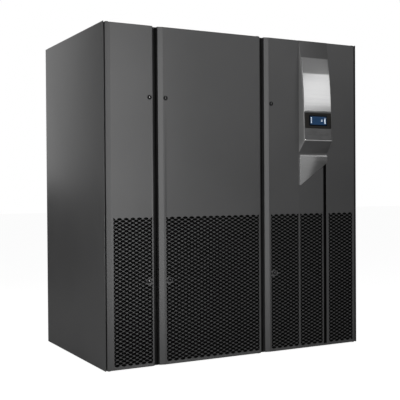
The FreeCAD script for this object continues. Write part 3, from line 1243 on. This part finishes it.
def coil():
    """Inclined evaporator coil between two end plates, its headers, drain tray and heaters."""
    long = f"({COIL_RIGHT} - {COIL_LEFT} - 2 * end_sheet)"
    body = new_body("evaporator_coil")
    block = sketch(body, "coil_plan", "XY_Plane", [rectangle("0", "0", long, "coil_thick")])
    pad(body, "coil_block", block, "coil_long")
    pack = f"(({long} + coil_groove) / coil_packs)"
    slot = sketch(body, "coil_slot_plan", "XY_Plane", [
        rectangle(f"{pack} - coil_groove", "0", pack, "coil_groove_deep"),
        rectangle(f"{pack} - coil_groove", "coil_thick - coil_groove_deep", pack, "coil_thick"),
    ])
    slots = pocket(body, "coil_slot", slot, outward=True)
    DOC.recompute()
    row = body.newObject("PartDesign::LinearPattern", "coil_slots")
    row.Originals = [slots]
    row.Direction = (next(f for f in body.Origin.OriginFeatures if f.Role == "X_Axis"), [""])
    bind(row, {"Length": f"{pack} * (coil_packs - 2)", "Occurrences": "coil_packs - 1"})
    body.Tip = row
    y, z = on_coil("0", "0")
    node("evaporator_coil", leaning(body, f"{COIL_LEFT} + end_sheet", y, z))

    plates = []
    floor = "(base_sheet + sheet)"
    for i, x in enumerate((COIL_LEFT, f"{COIL_RIGHT} - end_sheet"), 1):
        plate = new_body(f"end_plate_{i}")
        place(plate, x, "0", "0")
        front_y, front_z = on_coil("0", "-header_apart")
        top_front_y, top_front_z = on_coil("coil_long + header_apart", "-header_apart")
        top_back_y, top_back_z = on_coil("coil_long + header_apart", "coil_thick + header_apart")
        outline = [
            (front_y, floor), (f"{INNER_BACK} - tray_tail - foot_in", floor), (top_back_y, top_back_z),
            (top_front_y, top_front_z), (front_y, front_z),
        ]
        pad(plate, f"end_run_{i}", sketch(plate, f"end_face_{i}", "YZ_Plane", [outline]), "end_sheet")
        plates.append(plate)
    group("coil_end_plates", plates)

    headers = []
    header_x = f"({LEFT_SEAM} + (coil_left + sheet / 2) / 2)"
    for i, side in enumerate(("1", "-1"), 1):
        header = DOC.addObject("Part::Cylinder", f"header_{i}")
        bind(header, {"Radius": "header_radius", "Height": "coil_long - 2 * header_end + header_radius"})
        y, z = on_coil("header_end", f"coil_thick / 2 + {side} * header_apart")
        headers.append(leaning(header, header_x, y, z))
    stubs = []
    for i, (header, along) in enumerate(zip(headers, ("2 * header_end", "coil_long / 2")), 1):
        y, z = on_coil(along, f"coil_thick / 2 + {'1' if i == 1 else '-1'} * header_apart")
        feed = rod(f"feed_{i}", header_x, y, z, "liquid_radius", f"{COIL_LEFT} - {header_x}", Vector(1, 0, 0))
        stubs.append(fuse(f"header_with_feed_{i}", [header, feed]))
    group("coil_headers", stubs)

    tray_x = f"({COIL_LEFT} - tray_margin)"
    tray_long = f"({COIL_RIGHT} - {COIL_LEFT} + 2 * tray_margin)"
    tray_y = f"({FRONT} + tray_front)"
    outer = box("drain_tray_block", tray_x, tray_y, "base_sheet", tray_long, "tray_long", "base_tall")
    inside = box(
        "drain_tray_inside", f"{tray_x} + sheet", f"{tray_y} + sheet", "base_sheet + sheet",
        f"{tray_long} - 2 * sheet", "tray_long - 2 * sheet", "base_tall",
    )
    drain_x = f"({tray_x} + {tray_long} - drain_in)"
    drain_y = f"({tray_y} + tray_long - drain_in)"
    hole = rod("drain_hole", drain_x, drain_y, "0", "drain_radius + drain_play", "base_tall")
    node("drain_tray", cut("drain_tray", outer, [inside, hole]))

    socket = turned_piece("drain_socket", [
        ("drain_bore", "0"), ("drain_radius", "0"), ("drain_radius", floor), ("drain_flange", floor),
        ("drain_flange", f"{floor} + sheet"), ("drain_radius", f"{floor} + sheet"),
        ("drain_radius", "base_tall / 2"), ("drain_bore", "base_tall / 2"),
    ])
    node("drain_socket", place(socket, drain_x, drain_y))

    heater_x = f"({LEFT_SEAM} + sheet / 2)"
    heater_end = f"({RIGHT} - heater_short)"
    heaters = []
    for i in range(3):
        z = f"deck_height - heater_drop - {i} * heater_pitch"
        y = f"{FRONT} + heater_back"
        reach = f"{heater_end} - {heater_x}"
        heaters.append(rod(f"heater_{i}", heater_x, y, z, "heater_radius", reach, Vector(1, 0, 0)))
    hang = "(heater_drop + 2 * heater_pitch + 3 * heater_radius)"
    heaters.append(box(
        "heater_bracket", f"{heater_end} - sheet", f"{FRONT} + heater_back - 3 * heater_radius",
        f"deck_height - {hang}", "sheet", "6 * heater_radius", hang,
    ))
    node("heater_rods", fuse("heater_rods", heaters))


# Left bay

def compressors():
    """Two scroll compressors on rubber feet."""
    shells = []
    feet = []
    x = f"({LEFT} + bay_middle)"
    plate_low = "(base_sheet + rubber_tall)"
    for i in range(2):
        y = f"({FRONT} + comp_front + {i} * comp_pitch)"
        shell = turned_piece(f"compressor_shell_{i}", [
            ("0", "0"), ("comp_radius - comp_dome", "0"), ("comp_radius", "comp_dome / 2"),
            ("comp_radius", "comp_tall - comp_dome"),
            ("comp_radius - comp_dome / 3", "comp_tall - comp_dome / 3"),
            ("comp_radius - comp_dome", "comp_tall"), ("0", "comp_tall"),
        ])
        place(shell, x, y, f"{plate_low} + comp_foot_thick")
        plate = box(
            f"compressor_foot_{i}", f"{x} - comp_foot / 2", f"{y} - comp_foot / 2", plate_low,
            "comp_foot", "comp_foot", "comp_foot_thick",
        )
        shells.append(fuse(f"compressor_{i}", [shell, plate]))
        for across in ("-1", "1"):
            for along in ("-1", "1"):
                reach = "(comp_foot / 2 - rubber_in)"
                name = f"rubber_{i}_{len(feet)}"
                spot = (f"{x} + {across} * {reach}", f"{y} + {along} * {reach}")
                feet.append(rod(name, *spot, "base_sheet", "rubber_radius", "rubber_tall"))
    group("compressors", shells)
    group("compressor_feet", feet)


def pipes():
    """Hot gas, suction and liquid lines, the filter drier, and the humidifier with its lance."""
    s = SIZE
    left = -s.width / 2
    front = -s.depth / 2
    middle = left + s.bay_middle
    comp_y = [front + s.comp_front + i * s.comp_pitch for i in range(2)]
    comp_top = s.base_sheet + s.rubber_tall + s.comp_foot_thick + s.comp_tall
    tilt = math.radians(s.coil_tilt)
    seam = left + s.corner_gap + s.left_door_wide + s.seam_gap / 2
    header_x = seam + (s.coil_left + s.sheet / 2) / 2
    ends = []
    for side in (1, -1):
        along = s.coil_long - s.header_end
        through = s.coil_thick / 2 + side * s.header_apart
        y = front + s.coil_front + along * math.sin(tilt) + through * math.cos(tilt)
        z = s.coil_low + along * math.cos(tilt) - through * math.sin(tilt)
        ends.append((y, z))

    hot_x = middle - s.comp_stub
    branch = [
        Vector(hot_x, comp_y[0], comp_top), Vector(hot_x, comp_y[0], s.hot_join),
        Vector(hot_x, comp_y[1], s.hot_join),
    ]
    riser = Part.makeCylinder(s.hot_radius, s.height - comp_top, Vector(hot_x, comp_y[1], comp_top))
    socket = Part.makeCylinder(s.hot_bore, s.hot_socket, Vector(hot_x, comp_y[1], s.height - s.hot_socket))
    hot = pipe(branch, s.hot_radius, s.pipe_bend).fuse(riser).cut(socket)
    node("hot_gas_line", shaped("hot_gas_line", hot))

    suction_x = middle + s.comp_stub
    suction_y, suction_z = ends[0]
    route = [
        Vector(header_x - s.header_radius, suction_y, suction_z), Vector(suction_x, suction_y, suction_z),
        Vector(suction_x, comp_y[0], suction_z), Vector(suction_x, comp_y[0], comp_top),
    ]
    drop = Part.makeCylinder(s.suction_radius, suction_z - comp_top, Vector(suction_x, comp_y[1], comp_top))
    suction = pipe(route, s.suction_radius, s.pipe_bend).fuse(drop)
    node("suction_line", shaped("suction_line", suction))

    liquid_x = left + s.liquid_left
    liquid_y = front + s.liquid_back
    out_y, out_z = ends[1]
    drier_top = s.drier_low + s.drier_tall
    outlet = [
        Vector(liquid_x, liquid_y, s.drier_low), Vector(liquid_x, liquid_y, out_z),
        Vector(liquid_x, out_y, out_z), Vector(header_x - s.header_radius, out_y, out_z),
    ]
    inlet = Part.makeCylinder(s.liquid_radius, s.height - drier_top, Vector(liquid_x, liquid_y, drier_top))
    bore = Part.makeCylinder(s.liquid_bore, s.hot_socket, Vector(liquid_x, liquid_y, s.height - s.hot_socket))
    lines = Part.makeCompound([pipe(outlet, s.liquid_radius, s.pipe_bend), inlet.cut(bore)])
    node("liquid_line", shaped("liquid_line", lines))

    drier = turned_piece("filter_drier", [
        ("0", "0"), ("liquid_radius", "0"), ("drier_radius", "drier_radius / 2"),
        ("drier_radius", "drier_tall - drier_radius / 2"),
        ("liquid_radius", "drier_tall"), ("0", "drier_tall"),
    ])
    node("filter_drier", place(drier, f"{LEFT} + liquid_left", f"{FRONT} + liquid_back", "drier_low"))

    steam = turned_piece("humidifier", [
        ("0", "0"), ("steam_radius - steam_cap", "0"), ("steam_radius", "steam_cap"),
        ("steam_radius", "steam_tall - steam_cap"), ("steam_pipe", "steam_tall"), ("0", "steam_tall"),
    ])
    node("humidifier", place(steam, f"{LEFT} + bay_middle", f"{FRONT} + steam_front", "base_sheet"))

    steam_y = front + s.steam_front
    lance = [
        Vector(middle, steam_y, s.base_sheet + s.steam_tall), Vector(middle, steam_y, s.steam_high),
        Vector(seam + s.steam_long, steam_y, s.steam_high),
    ]
    strap = Part.makeBox(
        s.sheet, 2 * s.steam_pipe, s.deck_height - s.steam_high,
        Vector(seam + s.steam_long - s.sheet, steam_y - s.steam_pipe, s.steam_high),
    )
    node("steam_pipe", shaped("steam_pipe_run", pipe(lance, s.steam_pipe, s.steam_bend).fuse(strap)))


# Electrical box

def switch_device(kind, number, x, back, z, wide):
    """A device on the rear wall of the box: shoulders with terminals, and a raised front between them."""
    body = new_body(f"{kind}_{number}")
    place(body, x, back, z)
    front = f"-{kind}_deep"
    step = f"{kind}_step - {kind}_deep"
    high = f"{kind}_tall"
    low_edge = f"{kind}_shoulder"
    high_edge = f"{kind}_tall - {kind}_shoulder"
    outline = [
        ("0", "0"), ("0", high), (step, high), (step, high_edge),
        (front, high_edge), (front, low_edge), (step, low_edge), (step, "0"),
    ]
    pad(body, f"{kind}_run_{number}", sketch(body, f"{kind}_side_{number}", "YZ_Plane", [outline]), wide)
    return body


def electrics():
    """Open-fronted box behind the right door, with its board, switchgear and isolator."""
    start = f"({RIGHT_SEAM} + box_margin)"
    long = f"({RIGHT} - fold - post - box_margin - {start})"
    y = f"({INNER_FRONT} + box_gap)"
    tall = f"(box_top - {DECK_TOP})"
    outer = box("box_block", start, y, DECK_TOP, long, "box_deep", tall)
    inside = box(
        "box_inside", f"{start} + sheet", y, f"{DECK_TOP} + sheet", f"{long} - 2 * sheet",
        "box_deep - sheet", f"{tall} - 2 * sheet",
    )
    node("electrical_box", cut("electrical_box", outer, [inside]))

    back = f"({y} + box_deep - sheet)"
    board_x = f"({start} + sheet + gear_in)"
    board_z = "(box_top - gear_in - board_tall)"
    board_y = f"({back} - board_stand - board_thick)"
    parts = [box("board_plate", board_x, board_y, board_z, "board_wide", "board_thick", "board_tall")]
    for i, across in enumerate(("gear_in / 2", "board_wide - gear_in / 2")):
        for j, up in enumerate(("gear_in / 2", "board_tall - gear_in / 2")):
            spot = (f"{board_x} + {across}", f"{board_y} + board_thick", f"{board_z} + {up}")
            parts.append(rod(f"stand_{i}_{j}", *spot, "latch_shaft", "board_stand", Vector(0, 1, 0)))
    for device in ("chip", "relay", "terminal"):
        parts.append(box(
            f"board_{device}", f"{board_x} + {device}_in", f"{board_y} - device_high",
            f"{board_z} + {device}_up", f"{device}_wide", "device_high", f"{device}_tall",
        ))
    node("control_board", fuse("control_board", parts))

    gear = []
    gear_x = f"({board_x} + board_wide + gear_in)"
    row_high = "(box_top - gear_in - breaker_tall)"
    for i in range(int(SIZE.breaker_count)):
        x = f"{gear_x} + {i} * breaker_wide"
        gear.append(switch_device("breaker", i, x, back, row_high, "breaker_wide - pin_play"))
    row_low = f"({row_high} - gear_row)"
    for i in range(int(SIZE.contactor_count)):
        x = f"{gear_x} + {i} * (contactor_wide + latch_play)"
        gear.append(switch_device("contactor", i, x, back, row_low, "contactor_wide"))
    isolator_x = f"({start} + {long} - sheet - gear_in - isolator_side)"
    isolator_z = f"({row_high} + breaker_tall - isolator_side)"
    isolator_y = f"({back} - isolator_deep)"
    half = "isolator_side / 2"
    case = box(
        "isolator_case", isolator_x, isolator_y, isolator_z,
        "isolator_side", "isolator_deep", "isolator_side",
    )
    bore = rod(
        "isolator_bore", f"{isolator_x} + {half}", isolator_y, f"{isolator_z} + {half}",
        "spindle_radius + pin_play", "spindle_long", Vector(0, 1, 0),
    )
    gear.append(cut("isolator_body", case, [bore]))
    group("switchgear", gear)

    body = new_body("isolator_knob")
    place(body, f"{isolator_x} + {half}", isolator_y, f"{isolator_z} + {half}")
    disc = sketch(body, "knob_plan", "XZ_Plane", [], [("0", "0", "knob_radius")], lift="knob_gap")
    pad(body, "knob_disc", disc, "knob_thick / 2")
    grip = rectangle("-knob_radius / 4", "-knob_radius", "knob_radius / 4", "knob_radius")
    pad(body, "knob_grip", sketch(body, "grip_plan", "XZ_Plane", [grip], lift="knob_gap"), "knob_thick")
    bar = [("0", "0", "spindle_radius")]
    spindle = sketch(body, "spindle_plan", "XZ_Plane", [], bar, lift="knob_gap - spindle_long")
    pad(body, "knob_spindle", spindle, "spindle_long")
    node("isolator_knob", body)


def write_nodes():
    """Refuse a broken object or shape, then write each piece to its own file."""
    DOC.recompute()
    broken = [item.Label for item in DOC.Objects if "Invalid" in item.State or "Error" in item.State]
    if broken:
        raise RuntimeError(f"did not build: {broken}")
    hollow = [item.Label for item in NODES if item.Shape.isNull() or not item.Shape.isValid()]
    if hollow:
        raise RuntimeError(f"no valid shape: {hollow}")
    os.makedirs("parts", exist_ok=True)
    for item in NODES:
        item.Shape.exportStep(os.path.join("parts", item.Label + ".step"))
        print(f"{item.Label}: {len(item.Shape.Solids)} solids")
    print(f"{len(NODES)} nodes")


base_frame()
frame()
panels()
roof_panels()
doors()
latches()
pivots_and_seals()
nose()
fans()
discharge_collars()
bay_partition()
filters()
coil()
compressors()
pipes()
electrics()
write_nodes()
